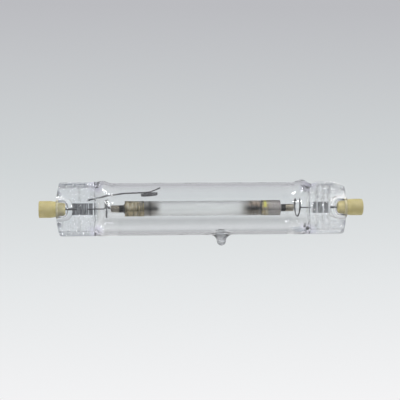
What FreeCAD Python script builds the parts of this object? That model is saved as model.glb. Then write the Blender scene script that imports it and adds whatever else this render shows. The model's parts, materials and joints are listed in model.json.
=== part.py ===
import FreeCAD
import Part

import math
import os

# Double-ended high-pressure sodium lamp, in millimetres.
# Its long axis is on X, the exhaust tip points to -Z and the broad faces of the two pinch seals
# face -Y and +Y. It is modelled about the middle of the lamp and then moved along X, so that the
# origin is in the middle of the left cap's barrel, where the left lampholder grips it.

V = FreeCAD.Vector
AXIS = V(1, 0, 0)
NEAR = 1e-3

# How closely the loop, the ovals and the domes follow their curves
LOOP_SLACK = 0.08
OVAL_STEPS = 10
DOME_STEPS = 7

# Quartz envelope
tube_radius = 11.0
tube_wall = 1.3
body_length = 90.4           # between the roots of the two pinch seals
shoulder_length = 7.2        # the dome between the round tube and the flat pinch
shoulder_run_in = 1.5        # straight start of the dome
shoulder_top_bulge = 0.85    # the softened quartz spreads this far past the tube
shoulder_bottom_bulge = 0.25
barrel_drop = 0.25           # the round tube lies this much under the line of the pinches
root_half_width = 11.3
root_half_thickness = 2.6
root_corner_radius = 1.3
cavity_end_gap = 0.45        # solid quartz between the cavity and the pinch root
cavity_slit_half_width = 9.2
cavity_slit_half_thickness = 0.4
cavity_slit_corner_radius = 0.35

# Pinch seals
pinch_length = 15.8
pinch_half_width = 11.15
plate_half_thickness = 1.9
end_bow = 1.5                # how far the curved end stands out past its corners
corner_radius = 1.3
bead_width = 1.9
bead_half_thickness = 2.35
bead_rounding = 0.7
boss_radius = 5.1
boss_length = 6.8
boss_rounding = 3.3
right_top_bow_radius = 22.0  # the right pinch's upper edge is bowed along its length
right_top_crest = 5.5        # its highest place, from the pinch root
right_dip_depth = 1.25       # hollow that the press left over the right root
right_dip_radius = 3.5
right_dip_offset = 0.6
press_mark_radius = 0.55
press_mark_depth = 0.3
left_press_marks = (6.2,)            # distances from the pinch root
right_press_marks = (3.3, 5.9, 8.5)

# Exhaust tip
tip_x = 7.8
tip_flare = 3.0              # radius of the hollow curve from the tube to the stem
tip_flare_sink = 0.05        # the curve's foot lies this much under the tube's surface
tip_stem_radius = 1.9
tip_ball_radius = 1.95
tip_height = 4.5             # above the tube's surface
tip_bore_radius = 3.4
tip_bore_end_radius = 0.8
tip_bore_stop = 2.05         # glass left between the sealed bore and the end of the tip

# Ceramic end caps, their contacts and cement
cap_radius = 3.5
cap_standout = 7.0
cap_barrel_length = 4.6
cap_insertion = 4.0
cap_nose_radius = 2.7
cap_nose_rounding = 0.8
cap_rim_rounding = 0.35
pocket_radius = 3.6
pocket_rounding = 2.2
pocket_float = 0.9           # free depth behind the cap's nose
cement_length = 0.8
cement_setback = 0.15
recess_radius = 1.8
recess_depth = 2.0
contact_radius = 1.5
contact_rounding = 0.25
contact_thickness = 0.8
collar_radius = 0.85
collar_length = 1.6
collar_clearance = 0.05
lead_hole_clearance = 0.1

# Molybdenum leads and foils
outer_lead_radius = 0.4
inner_lead_radius = 0.25
foil_cover = 1.5             # quartz between the foil and the cap's pocket
foil_setback = 0.6           # quartz between the pinch root and the foil
foil_half_width = 2.4
foil_flat_half_width = 0.8
foil_half_thickness = 0.05
foil_edge_half_thickness = 0.015
lead_overlap = 2.2
loop_radius = 3.6
left_loop_pitch = 0.62       # bent by hand: this loop is flat and the other is open
left_loop_standoff = 2.0     # from the niobium tube's end to the expansion loop
right_loop_pitch = 1.9
right_loop_standoff = 2.9
loop_exit_height = 2.0       # where the lead turns from the loop towards the niobium tube
lead_bend_radius = 0.8
lead_entry_bend_radius = 0.6
lead_entry_run = 0.4
lead_grip = 1.6              # length of lead inside the niobium tube

# Arc tube and its end seals
arc_tube_setback = 12.6      # from the pinch root to the arc tube's end
arc_tube_radius = 3.1
arc_tube_bore_radius = 2.4
plug_thickness = 2.5
niobium_radius = 1.5
niobium_wall = 0.25
niobium_standout = 5.8
niobium_inner_reach = 0.3    # past the plug's inner face
niobium_end_wall = 0.6
niobium_rounding = 0.2
frit_width = 0.75
frit_height = 0.55
shield_width = 8.0
shield_thickness = 0.1
shield_lap_angle = 36.0

# Electrodes
electrode_radius = 0.45
electrode_reach = 14.2       # from the arc tube's end to the electrode's tip
electrode_root_length = 1.4  # inside the niobium tube
braze_length = 1.0
coil_start = 1.0             # behind the electrode's tip
coil_length = 4.0
coil_radius = 1.1
coil_groove_depth = 0.28
coil_turns = 7

# Getter
getter_wire_radius = 0.3
getter_wire_embed = 2.6
getter_setback = 22.6        # from the pinch root to the ring's centre
getter_radius = 3.5
getter_channel_width = 1.0
getter_channel_height = 0.85
getter_channel_wall = 0.15
getter_fill_depth = 0.5
getter_clearance = 2.5       # from the support wire at the ring to the tube's wall
getter_tilt = 8.0            # degrees by which the ring's free side hangs lower
getter_slope = 5.0           # degrees by which the wire climbs over the ring
getter_wire_root_height = 3.7
getter_knee_run = 6.2        # from the wire's sealed end to its first bend
getter_knee_rise = 1.5
getter_crest_run = 9.1       # from the first bend to the second
getter_crest_drop = 0.5      # below the wire at the ring
getter_weld_before = 2.6     # straight run over the ring, before its middle and after it
getter_weld_after = 0.8
getter_tail_run = 4.0
getter_tail_rise = 1.75
getter_wire_bend_radius = 24.0
getter_weld_bend_radius = 12.0
getter_tail_bend_radius = 4.0

# Sodium amalgam
amalgam_radius = 0.75
amalgam_sink = 0.2

# Places along the axis, worked out from the sizes above
root_x = body_length / 2
shoulder_x = root_x - shoulder_length
pinch_end_x = root_x + pinch_length
cap_face_x = pinch_end_x + cap_standout
cap_nose_x = pinch_end_x - cap_insertion
pocket_x = cap_nose_x - pocket_float
contact_face_x = cap_face_x - recess_depth
contact_seat_x = contact_face_x - contact_thickness
foil_outer_x = pocket_x - foil_cover
foil_inner_x = root_x + foil_setback
arc_end_x = root_x - arc_tube_setback
plug_inner_x = arc_end_x - plug_thickness
niobium_inner_x = plug_inner_x - niobium_inner_reach
niobium_end_x = arc_end_x + niobium_standout
electrode_tip_x = arc_end_x - electrode_reach
electrode_root_x = niobium_inner_x + electrode_root_length
getter_x = getter_setback - root_x
cavity_radius = tube_radius - tube_wall
getter_height = cavity_radius - barrel_drop - getter_clearance
tip_ball_distance = barrel_drop + tube_radius + tip_height - tip_ball_radius


def rod(radius, x_from, x_to):
    """A round bar on the lamp's axis."""
    return Part.makeCylinder(radius, x_to - x_from, V(x_from, 0, 0), AXIS)


def sleeve(outer_radius, inner_radius, x_from, x_to):
    """A plain tube on the lamp's axis."""
    return rod(outer_radius, x_from, x_to).cut(rod(inner_radius, x_from, x_to))


def slab(x_from, x_to, y_from, y_to, z_from, z_to):
    size = V(x_to - x_from, y_to - y_from, z_to - z_from)
    return Part.makeBox(size.x, size.y, size.z, V(x_from, y_from, z_from))


def turned(outline):
    """Spins a closed outline of (x, radius) points about the lamp's axis."""
    points = [V(x, 0, radius) for x, radius in outline]
    face = Part.Face(Part.makePolygon(points + points[:1]))
    return face.revolve(V(0, 0, 0), AXIS, 360)


def rings_at(shape, x):
    """The round edges that lie in the plane across the axis at x."""
    return [edge for edge in shape.Edges if edge.Closed
            and abs(edge.BoundBox.XMin - x) < NEAR and abs(edge.BoundBox.XMax - x) < NEAR]


def turn_end_for_end(shape):
    """The same piece fitted at the other end of the lamp."""
    other = shape.copy()
    other.rotate(V(0, 0, 0), V(0, 0, 1), 180)
    return other


def bent_wire(points, bend_radii, wire_radius):
    """Round wire along straight runs joined by tangent arcs, one bend radius per inner point."""
    edges = []
    here = points[0]
    for before, corner, after, radius in zip(points, points[1:], points[2:], bend_radii):
        back = (before - corner).normalize()
        ahead = (after - corner).normalize()
        half_turn = (math.pi - back.getAngle(ahead)) / 2
        trim = radius * math.tan(half_turn)
        towards_centre = (back + ahead).normalize()
        middle = corner + towards_centre * (radius / math.cos(half_turn) - radius)
        arc_start = corner + back * trim
        arc_end = corner + ahead * trim
        edges.append(Part.LineSegment(here, arc_start).toShape())
        edges.append(Part.Arc(arc_start, middle, arc_end).toShape())
        here = arc_end
    edges.append(Part.LineSegment(here, points[-1]).toShape())
    first_run = points[1] - points[0]
    section = Part.Wire(Part.makeCircle(wire_radius, points[0], first_run))
    return Part.Wire(edges).makePipeShell([section], True, False)


def oval_section(x, rise, half_width, half_thickness, corner_radius):
    """Smooth closed oval across the axis, its points evenly spaced along each quarter."""
    flat = half_width - corner_radius
    bend = corner_radius * math.pi / 2
    quarter = flat + bend + half_thickness - corner_radius
    corner = []
    for step in range(OVAL_STEPS):
        walked = quarter * (step + 0.5) / OVAL_STEPS
        angle = min(max((walked - flat) / corner_radius, 0), math.pi / 2)
        across = min(walked, flat) + corner_radius * math.sin(angle)
        deep = half_thickness - corner_radius * (1 - math.cos(angle))
        deep -= max(walked - flat - bend, 0)
        corner.append((across, deep))
    back = corner[::-1]
    ring = corner + [(across, -deep) for across, deep in back]
    ring += [(-across, -deep) for across, deep in corner] + [(-across, deep) for across, deep in back]
    curve = Part.BSplineCurve()
    curve.interpolate(Points=[V(x, deep, rise + across) for across, deep in ring],
                      PeriodicFlag=True,
                      Parameters=[float(step) for step in range(len(ring) + 1)])
    return Part.Wire(curve.toShape())


def domed_body(end_x, radius, end_half_width, end_half_thickness, end_corner_radius):
    """Round tube whose ends come down in a dome to a flat slit or plate, as one solid."""
    last_angle = math.acos(end_half_thickness / radius)
    dome_length = (end_x - shoulder_x) / math.sin(last_angle)
    bulge = (shoulder_top_bulge + shoulder_bottom_bulge) / 2
    bulge_rise = (shoulder_top_bulge - shoulder_bottom_bulge) / 2
    sections = [oval_section(shoulder_x - shoulder_run_in, -barrel_drop, radius, radius, radius)]
    for step in range(DOME_STEPS + 1):
        angle = last_angle * step / DOME_STEPS
        x = shoulder_x + dome_length * math.sin(angle)
        share = (x - shoulder_x) / (end_x - shoulder_x)
        half_thickness = radius * math.cos(angle)
        half_width = radius + (end_half_width - radius) * share ** 3
        swell = math.sin(math.pi * share) ** 2
        half_width += bulge * swell
        rise = bulge_rise * swell - barrel_drop * (1 - share ** 2 * (3 - 2 * share))
        corner_radius = half_thickness
        corner_radius -= (end_half_thickness - end_corner_radius) * share ** 3
        sections.append(oval_section(x, rise, half_width, half_thickness, corner_radius))
    shoulder = Part.makeLoft(sections, True, False)
    barrel = Part.Face(sections[0]).extrude(V(-2 * (shoulder_x - shoulder_run_in), 0, 0))
    return barrel.fuse([shoulder, shoulder.mirror(V(0, 0, 0), AXIS)])


# Quartz envelope

def top_bow_cylinder(half_thickness, bow_radius, inset):
    """Wide cylinder across the pinch whose top is the bowed upper edge, or the line inside it."""
    centre = V(root_x + right_top_crest, -half_thickness, pinch_half_width - bow_radius)
    return Part.makeCylinder(bow_radius - inset, 2 * half_thickness, centre, V(0, 1, 0))


def root_dip():
    """What is taken off over the right root."""
    centre = V(root_x + right_dip_offset, -tube_radius,
               root_half_width - right_dip_depth + right_dip_radius)
    return Part.makeCylinder(right_dip_radius, 2 * tube_radius, centre, V(0, 1, 0))


def pinch_outline(half_thickness, top_bow_radius):
    """The pinch seen on its broad face, with its bowed end, as thick as asked."""
    bow_radius = (pinch_half_width ** 2 + end_bow ** 2) / (2 * end_bow)
    block = slab(root_x - foil_setback, pinch_end_x + end_bow, -half_thickness, half_thickness,
                 -pinch_half_width, pinch_half_width)
    bow_centre = V(pinch_end_x - bow_radius, -half_thickness, 0)
    bow = Part.makeCylinder(bow_radius, 2 * half_thickness, bow_centre, V(0, 1, 0))
    outline = block.common(bow)
    if top_bow_radius:
        outline = outline.common(top_bow_cylinder(half_thickness, top_bow_radius, 0))
    corners = [edge for edge in outline.Edges if edge.BoundBox.XMin > root_x
               and edge.BoundBox.XLength < NEAR and edge.BoundBox.ZLength < NEAR]
    return outline.makeFillet(corner_radius, corners)


def edge_beads(top_bow_radius):
    """The thick rounded rims along both long edges of the pinch."""
    inner_edge = pinch_half_width - bead_width
    rims = pinch_outline(bead_half_thickness, top_bow_radius)
    between = slab(0, cap_face_x, -bead_half_thickness, bead_half_thickness,
                   -inner_edge, inner_edge)
    if top_bow_radius:
        between = between.common(top_bow_cylinder(bead_half_thickness, top_bow_radius, bead_width))
    rims = rims.cut(between)
    long_edges = [edge for edge in rims.Edges if edge.BoundBox.XLength > bead_width
                  and edge.BoundBox.YLength < NEAR and edge.BoundBox.ZLength < 2 * end_bow]
    return rims.makeFillet(bead_rounding, long_edges)


def pocket_boss():
    """The round boss around the cap's pocket, domed at its inner end."""
    boss = rod(boss_radius, pinch_end_x - boss_length, pinch_end_x + end_bow)
    boss = boss.makeFillet(boss_rounding, rings_at(boss, pinch_end_x - boss_length))
    return boss.common(pinch_outline(boss_radius, 0))


def pinch(press_marks, top_bow_radius):
    """One flat pinch seal, at the +X end."""
    plate = pinch_outline(plate_half_thickness, top_bow_radius)
    reach = pinch_half_width - bead_width
    for mark in press_marks:
        for side in (-1, 1):
            depth = plate_half_thickness + press_mark_radius - press_mark_depth
            start = V(root_x + mark, side * depth, -reach)
            plate = plate.cut(Part.makeCylinder(press_mark_radius, 2 * reach, start, V(0, 0, 1)))
    return plate.fuse([edge_beads(top_bow_radius), pocket_boss()])


def exhaust_tip():
    """The sealed-off stem that was used to evacuate the tube, pointing to -Z."""
    reach = tip_stem_radius + tip_flare
    seat = rod(tube_radius - tip_flare_sink, tip_x - 2 * reach, tip_x + 2 * reach)
    seat.translate(V(0, 0, -barrel_drop))
    stem = Part.makeCylinder(tip_stem_radius, tip_ball_distance, V(tip_x, 0, 0), V(0, 0, -1))
    body = seat.fuse(stem)
    seams = [edge for edge in body.Edges if edge.BoundBox.ZMax < -cavity_radius
             and edge.BoundBox.ZMin > NEAR - barrel_drop - tube_radius]
    body = body.makeFillet(tip_flare, seams)
    keep = Part.makeCylinder(reach, tube_radius + tip_height - cavity_radius,
                             V(tip_x, 0, -cavity_radius + tube_wall / 2), V(0, 0, -1))
    ball = Part.makeSphere(tip_ball_radius, V(tip_x, 0, -tip_ball_distance))
    return body.common(keep).fuse(ball)


def exhaust_bore():
    """The funnel left inside the tip, open to the cavity."""
    bore_end = barrel_drop + tube_radius + tip_height - tip_bore_stop
    bore_start = cavity_radius - tube_wall
    return Part.makeCone(tip_bore_radius, tip_bore_end_radius, bore_end - bore_start,
                         V(tip_x, 0, -bore_start), V(0, 0, -1))


def outer_envelope(sealed_in):
    """The one-piece quartz bulb: tube, shoulders, pinch seals and exhaust tip."""
    glass = domed_body(root_x, tube_radius, root_half_width, root_half_thickness,
                       root_corner_radius)
    glass = glass.fuse([pinch(right_press_marks, right_top_bow_radius),
                        turn_end_for_end(pinch(left_press_marks, 0)), exhaust_tip()])
    cavity = domed_body(root_x - cavity_end_gap, cavity_radius, cavity_slit_half_width,
                        cavity_slit_half_thickness, cavity_slit_corner_radius)
    glass = glass.cut(cavity.fuse(exhaust_bore()))
    pocket = rod(pocket_radius, pocket_x, cap_face_x)
    pocket = pocket.makeFillet(pocket_rounding, rings_at(pocket, pocket_x))
    glass = glass.cut([pocket, turn_end_for_end(pocket), root_dip()])
    return glass.cut(sealed_in)


# End cap, contact and cement, all at the +X end

def cap_body():
    """The cap's outside: a barrel, a taper and a rounded nose, with no holes yet."""
    barrel_x = cap_face_x - cap_barrel_length
    body = turned([(cap_nose_x, 0), (cap_nose_x, cap_nose_radius), (barrel_x, cap_radius),
                   (cap_face_x, cap_radius), (cap_face_x, 0)])
    body = body.makeFillet(cap_nose_rounding, rings_at(body, cap_nose_x))
    return body.makeFillet(cap_rim_rounding, rings_at(body, cap_face_x))


def end_cap():
    """Ceramic insulator with the contact's recess and the lead's hole."""
    collar_seat_x = contact_seat_x - collar_length
    recess = rod(recess_radius, contact_face_x, cap_face_x)
    seat = rod(contact_radius, contact_seat_x, contact_face_x)
    collar_hole = rod(collar_radius + collar_clearance, collar_seat_x, contact_seat_x)
    lead_hole = rod(outer_lead_radius + lead_hole_clearance, cap_nose_x, collar_seat_x)
    return cap_body().cut([recess, seat, collar_hole, lead_hole])


def contact():
    """Metal contact at the bottom of the recess, with a collar crimped on the lead."""
    button = rod(contact_radius, contact_seat_x, contact_face_x)
    button = button.makeFillet(contact_rounding, rings_at(button, contact_face_x))
    collar = rod(collar_radius, contact_seat_x - collar_length, contact_seat_x)
    return button.fuse(collar).cut(rod(outer_lead_radius, cap_nose_x, cap_face_x))


def cement_ring():
    """Cement between the cap's taper and the wall of its pocket."""
    mouth_x = pinch_end_x - cement_setback
    return rod(pocket_radius, mouth_x - cement_length, mouth_x).cut(cap_body())


# Foil and leads at the +X end

def seal_foil():
    """Foil with feathered edges, as it is rolled and etched."""
    profile = [(-foil_half_width, foil_edge_half_thickness),
               (-foil_flat_half_width, foil_half_thickness),
               (foil_flat_half_width, foil_half_thickness),
               (foil_half_width, foil_edge_half_thickness)]
    points = [V(foil_inner_x, thick, across) for across, thick in profile]
    points += [V(foil_inner_x, -thick, across) for across, thick in reversed(profile)]
    face = Part.Face(Part.makePolygon(points + points[:1]))
    return face.extrude(V(foil_outer_x - foil_inner_x, 0, 0))


def flat_for_foil(x_from, x_to):
    """What is taken off a lead's end so that its flat lies on the foil."""
    return slab(x_from, x_to, -1, foil_half_thickness, -1, 1)


def outer_lead():
    lead = rod(outer_lead_radius, foil_outer_x - lead_overlap, contact_face_x)
    return lead.cut(flat_for_foil(foil_outer_x - lead_overlap, foil_outer_x))


def inner_lead(loop_standoff, loop_pitch):
    """Lead with one expansion loop, from the foil to the niobium tube."""
    start_x = foil_inner_x + lead_overlap
    loop_x = niobium_end_x + loop_standoff
    quarter = loop_pitch / 4
    points = [
        V(start_x, 0, 0),
        V(loop_x, 0, 0),
        V(loop_x, 0, loop_radius),
        V(loop_x - quarter, -loop_radius, loop_radius),
        V(loop_x - 2 * quarter, -loop_radius, -loop_radius),
        V(loop_x - 3 * quarter, loop_radius, -loop_radius),
        V(loop_x - loop_pitch, loop_radius, loop_radius),
        V(loop_x - loop_pitch, 0, loop_radius),
        V(loop_x - loop_pitch, 0, loop_exit_height),
        V(niobium_end_x + lead_entry_run, 0, 0),
        V(niobium_end_x - lead_grip, 0, 0),
    ]
    first_turn = loop_radius - lead_bend_radius - LOOP_SLACK
    turn = loop_radius - LOOP_SLACK
    radii = [lead_bend_radius, lead_bend_radius, first_turn, turn, turn, first_turn,
             lead_bend_radius, lead_bend_radius, lead_entry_bend_radius]
    lead = bent_wire(points, radii, inner_lead_radius)
    return lead.cut(flat_for_foil(foil_inner_x, start_x + 1))


# Arc tube and what closes it, at the +X end

def arc_tube():
    return sleeve(arc_tube_radius, arc_tube_bore_radius, -arc_end_x, arc_end_x)


def end_plug():
    return sleeve(arc_tube_bore_radius, niobium_radius, plug_inner_x, arc_end_x)


def niobium_tube():
    """Feed-through tube whose outer end is closed down on the lead."""
    tube = rod(niobium_radius, niobium_inner_x, niobium_end_x)
    bore = rod(niobium_radius - niobium_wall, niobium_inner_x, niobium_end_x - niobium_end_wall)
    grip = rod(inner_lead_radius, niobium_inner_x, niobium_end_x)
    tube = tube.cut([bore, grip])
    rim = [edge for edge in rings_at(tube, niobium_end_x) if edge.BoundBox.ZLength > niobium_radius]
    return tube.makeFillet(niobium_rounding, rim)


def frit_ring():
    """Fillet of sealing glass where the niobium tube leaves the plug."""
    return turned([(arc_end_x, niobium_radius), (arc_end_x, niobium_radius + frit_width),
                   (arc_end_x + frit_height, niobium_radius)])


def heat_shield():
    """Foil band wrapped round the arc tube's end, with a lap where it overlaps itself."""
    inner_x = arc_end_x - shield_width
    band = sleeve(arc_tube_radius + shield_thickness, arc_tube_radius, inner_x, arc_end_x)
    lap = sleeve(arc_tube_radius + 2 * shield_thickness, arc_tube_radius + shield_thickness,
                 inner_x, arc_end_x)
    reach = 2 * arc_tube_radius
    half = math.radians(shield_lap_angle / 2)
    wedge_points = [V(inner_x, 0, 0), V(inner_x, reach * math.cos(half), reach * math.sin(half)),
                    V(inner_x, reach * math.cos(half), -reach * math.sin(half))]
    wedge = Part.Face(Part.makePolygon(wedge_points + wedge_points[:1]))
    return band.fuse(lap.common(wedge.extrude(V(shield_width, 0, 0))))


# Electrode at the +X end

def electrode_rod():
    return rod(electrode_radius, electrode_tip_x, electrode_root_x)


def braze_bead():
    """Braze that holds the electrode in the niobium tube's inner end."""
    return sleeve(niobium_radius - niobium_wall, electrode_radius, niobium_inner_x,
                  niobium_inner_x + braze_length)


def electrode_coil():
    """Close-wound tungsten coil round the rod, each turn showing as a ridge."""
    start_x = electrode_tip_x + coil_start
    pitch = coil_length / coil_turns
    outline = [(start_x, electrode_radius), (start_x, coil_radius - coil_groove_depth)]
    for turn in range(coil_turns):
        outline.append((start_x + (turn + 0.5) * pitch, coil_radius))
        outline.append((start_x + (turn + 1) * pitch, coil_radius - coil_groove_depth))
    outline.append((start_x + coil_length, electrode_radius))
    return turned(outline)


# Getter at the -X end and the amalgam

def getter_support_wire():
    """Wire held in the left pinch that carries the getter over the arc tube."""
    root = V(-root_x - getter_wire_embed, 0, getter_wire_root_height)
    knee = root + V(getter_knee_run, 0, getter_knee_rise)
    crest = V(knee.x + getter_crest_run, 0, getter_height - getter_crest_drop)
    slope = math.radians(getter_slope)
    climb = V(math.cos(slope), 0, math.sin(slope))
    weld_start = V(getter_x, 0, getter_height) - climb * getter_weld_before
    weld_end = V(getter_x, 0, getter_height) + climb * getter_weld_after
    tail = weld_end + V(getter_tail_run, 0, getter_tail_rise)
    radii = [getter_wire_bend_radius, getter_wire_bend_radius, getter_weld_bend_radius,
             getter_tail_bend_radius]
    return bent_wire([root, knee, crest, weld_start, weld_end, tail], radii, getter_wire_radius)


def hung_from_wire(outline):
    """Spins (radius, height) points, then hangs the ring under the wire by its far rim."""
    points = [V(radius, 0, height) for radius, height in outline]
    face = Part.Face(Part.makePolygon(points + points[:1]))
    ring = face.revolve(V(0, 0, 0), V(0, 0, 1), 360)
    ring.translate(V(0, getter_channel_width / 2 - getter_radius, -getter_wire_radius))
    ring.rotate(V(0, 0, 0), AXIS, getter_tilt)
    ring.rotate(V(0, 0, 0), V(0, 1, 0), -getter_slope)
    ring.translate(V(getter_x, 0, getter_height))
    return ring


def getter_ring():
    """Pressed ring channel, closed against the wire and open towards the arc tube."""
    top = 0
    bottom = -getter_channel_height
    outer = getter_radius
    inner = getter_radius - getter_channel_width
    wall = getter_channel_wall
    return hung_from_wire([(inner, bottom), (inner, top), (outer, top), (outer, bottom),
                           (outer - wall, bottom), (outer - wall, top - wall),
                           (inner + wall, top - wall), (inner + wall, bottom)])


def getter_fill():
    """Pressed getter powder in the channel."""
    ceiling = -getter_channel_wall
    outer = getter_radius - getter_channel_wall
    inner = getter_radius - getter_channel_width + getter_channel_wall
    return hung_from_wire([(inner, ceiling - getter_fill_depth), (inner, ceiling),
                           (outer, ceiling), (outer, ceiling - getter_fill_depth)])


def amalgam_bead():
    """Frozen drop of sodium amalgam in the corner of the arc tube's left end."""
    centre = V(amalgam_sink - plug_inner_x, 0, amalgam_sink + amalgam_radius - arc_tube_bore_radius)
    ball = Part.makeSphere(amalgam_radius, centre + V(amalgam_radius / 2, 0, -2 * amalgam_sink))
    room = rod(arc_tube_bore_radius, -plug_inner_x, 0)
    return ball.common(room).cut(rod(niobium_radius, -plug_inner_x, -niobium_inner_x))


# Assembly

def place(shape):
    """Puts the origin in the middle of the left cap's barrel."""
    placed = shape.copy()
    placed.translate(V(cap_face_x - (cap_barrel_length + cap_rim_rounding) / 2, 0, 0))
    return placed


END_PIECES = {
    "end_cap": end_cap,
    "contact": contact,
    "cement_ring": cement_ring,
    "outer_lead": outer_lead,
    "seal_foil": seal_foil,
    "niobium_tube": niobium_tube,
    "end_plug": end_plug,
    "frit_ring": frit_ring,
    "heat_shield": heat_shield,
    "electrode_rod": electrode_rod,
    "braze_bead": braze_bead,
    "electrode_coil": electrode_coil,
}


def all_pieces():
    pieces = {}
    for name, make in END_PIECES.items():
        piece = make()
        pieces["right_" + name] = piece
        pieces["left_" + name] = turn_end_for_end(piece)
    pieces["right_inner_lead"] = inner_lead(right_loop_standoff, right_loop_pitch)
    left_lead = inner_lead(left_loop_standoff, left_loop_pitch)
    pieces["left_inner_lead"] = turn_end_for_end(left_lead)
    pieces["arc_tube"] = arc_tube()
    pieces["getter_support_wire"] = getter_support_wire()
    pieces["getter_ring"] = getter_ring()
    pieces["getter_fill"] = getter_fill()
    pieces["amalgam_bead"] = amalgam_bead()
    sealed_in = [pieces[side + name] for side in ("left_", "right_")
                 for name in ("outer_lead", "seal_foil", "inner_lead")]
    pieces["outer_envelope"] = outer_envelope(sealed_in + [pieces["getter_support_wire"]])
    return pieces


os.makedirs("parts", exist_ok=True)
for name, piece in sorted(all_pieces().items()):
    placed = place(piece)
    placed.exportStep("parts/" + name + ".step")
    print(f"{name}: {len(placed.Solids)} solid, {placed.Volume:.3f} mm3, valid {placed.isValid()}")
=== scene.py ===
import json
import math

import bpy
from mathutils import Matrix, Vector


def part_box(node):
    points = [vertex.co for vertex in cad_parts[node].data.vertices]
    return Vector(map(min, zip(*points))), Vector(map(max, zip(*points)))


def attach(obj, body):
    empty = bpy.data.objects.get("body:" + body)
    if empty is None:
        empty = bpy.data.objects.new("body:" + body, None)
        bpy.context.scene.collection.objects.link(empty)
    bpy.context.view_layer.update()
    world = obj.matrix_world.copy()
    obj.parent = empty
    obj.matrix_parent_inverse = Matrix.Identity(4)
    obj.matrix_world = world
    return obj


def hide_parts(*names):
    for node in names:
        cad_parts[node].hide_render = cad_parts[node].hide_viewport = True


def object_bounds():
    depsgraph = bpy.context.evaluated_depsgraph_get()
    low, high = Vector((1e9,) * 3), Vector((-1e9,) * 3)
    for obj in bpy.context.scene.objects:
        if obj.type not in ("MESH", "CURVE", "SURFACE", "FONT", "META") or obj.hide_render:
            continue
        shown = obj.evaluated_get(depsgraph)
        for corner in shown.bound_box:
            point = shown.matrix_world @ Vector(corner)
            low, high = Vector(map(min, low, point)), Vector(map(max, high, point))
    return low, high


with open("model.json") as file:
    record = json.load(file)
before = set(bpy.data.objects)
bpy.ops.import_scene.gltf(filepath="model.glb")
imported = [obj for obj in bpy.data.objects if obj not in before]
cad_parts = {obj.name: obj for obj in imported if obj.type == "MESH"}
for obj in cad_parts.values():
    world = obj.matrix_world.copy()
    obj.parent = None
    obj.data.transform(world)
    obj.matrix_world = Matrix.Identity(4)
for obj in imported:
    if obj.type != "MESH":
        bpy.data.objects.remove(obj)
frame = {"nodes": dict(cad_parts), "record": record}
cad_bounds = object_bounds()

# Places in the frame, in metres
LOW, HIGH = (Vector(corner) for corner in cad_bounds)
TUBE_LOW, TUBE_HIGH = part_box("arc_tube")
MIDDLE = Vector(((LOW.x + HIGH.x) / 2, 0, (TUBE_LOW.z + TUBE_HIGH.z) / 2))
MM = 0.001

# Finish of the lamp's surfaces: what is sealed in the quartz grows a hair, so no air shows round it
MERGE_DISTANCE = 1e-7
SMOOTH_ANGLE = math.radians(35)
SEALED_SLOTS = ("lead_molybdenum", "foil_molybdenum")
SEAL_GROWTH = 0.02 * MM

# Camera, as in the photo: a little left of the lamp's middle, so its left end is nearer
CAMERA_OFFSET = Vector((-40, -428, 3.45)) * MM
AIM_OFFSET = Vector((-1.09, 0, 3.45)) * MM
CAMERA_ROLL = math.radians(-0.42)
CAMERA_LENS = 92.2

# Stage, in metres
FLOOR_DROP = 0.24
WALL_DISTANCE = 0.45
WALL_FADE = 0.17
SWEEP_RADIUS = 0.16
SWEEP_SEGMENTS = 24
STAGE_HALF_WIDTH = 2.0
STAGE_FRONT = 1.6
STAGE_TOP = 1.6
NEAR = 1e-6

# The stage's colours, and the wall's glow from low to high
FLOOR_COLOUR = (0.86, 0.865, 0.87)
FLOOR_GLOW = 0.5
WALL_GLOW = ((0.0, (0.90, 0.90, 0.91)), (0.3, (0.78, 0.80, 0.81)),
             (0.6, (0.63, 0.66, 0.67)), (1.0, (0.50, 0.505, 0.53)))

# The world from low to high: what lights the lamp, and the room that shines in it
SKY_HEIGHTS = (-0.3, 1.0)
SKY = ((0.0, (0.48, 0.48, 0.485)), (0.35, (0.36, 0.36, 0.36)), (1.0, (0.7, 0.7, 0.7)))
ROOM_HEIGHTS = (-1.0, 1.0)
ROOM = ((0.0, (0.70, 0.71, 0.73)), (0.5, (0.55, 0.56, 0.58)), (1.0, (0.75, 0.76, 0.78)))

# Studio lamps: name, place from the lamp's middle in metres, size, power, only for the sheen
STUDIO_LAMPS = (
    ("left overhead softbox", (-0.25, -0.17, 0.59), 0.13, 1.0, False),
    ("left front lamp", (-0.24, -0.69, 0.38), 0.085, 0.4, True),
    ("right overhead softbox", (0.25, -0.17, 0.59), 0.13, 1.0, False),
    ("right front lamp", (0.24, -0.69, 0.38), 0.085, 0.4, True),
    ("left side lamp", (-0.45, -0.45, 0.15), 0.12, 1.2, True),
    ("right side lamp", (0.45, -0.45, 0.15), 0.12, 2.0, True),
)

# Regions of the quartz: where each edge fades, in millimetres from the lamp's middle
PINCH_ROOT = (44.6, 46.2)
BOSS_ROOT = (53.6, 54.6)
BOSS_EDGE = (4.8, 6.0)
FOIL_EDGE = (2.6, 3.6)
RIGHT_HALF = (-1.0, 1.0)
TIP_FOOT = (-11.9, -11.3)

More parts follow.
